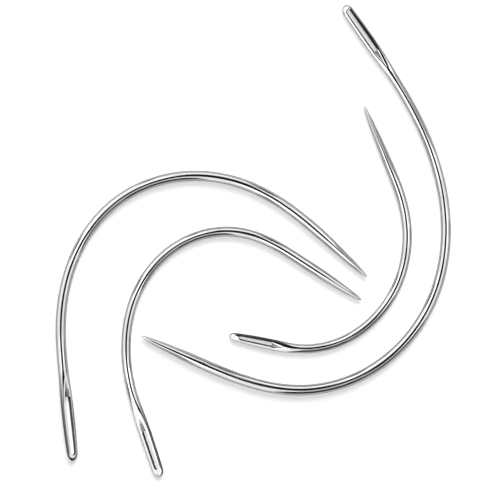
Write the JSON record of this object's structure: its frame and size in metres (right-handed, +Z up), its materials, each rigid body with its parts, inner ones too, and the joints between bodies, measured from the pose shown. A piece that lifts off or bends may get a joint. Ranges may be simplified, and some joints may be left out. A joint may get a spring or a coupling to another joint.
{
  "type": "curved needle set",
  "caption": "Set of loose curved steel needles for leather and upholstery, each a bent round wire with a long slotted eye at one end and a three-sided ground point at the other.",
  "frame": {"origin": "on the table, under the middle of the box around the four lying needles", "axes": "+Z up from the table; +X to the right and +Y to the top of the picture, which looks straight down"},
  "size_m": [0.0764, 0.091, 0.0021],
  "materials": {
    "plated_steel": "bright nickel plate, polished"
  },
  "bodies": {
    "extra_large_needle": {"extra_large_needle": "plated_steel"},
    "large_needle": {"large_needle": "plated_steel"},
    "medium_needle": {"medium_needle": "plated_steel"},
    "small_needle": {"small_needle": "plated_steel"}
  },
  "joints": [
    {"name": "large_lift", "type": "slide", "parent": "extra_large_needle", "child": "large_needle", "axis": [0, 0, 1], "range_m": [0, 0.05]},
    {"name": "medium_lift", "type": "slide", "parent": "extra_large_needle", "child": "medium_needle", "axis": [0, 0, 1], "range_m": [0, 0.05]},
    {"name": "small_lift", "type": "slide", "parent": "extra_large_needle", "child": "small_needle", "axis": [0, 0, 1], "range_m": [0, 0.05]}
  ]
}
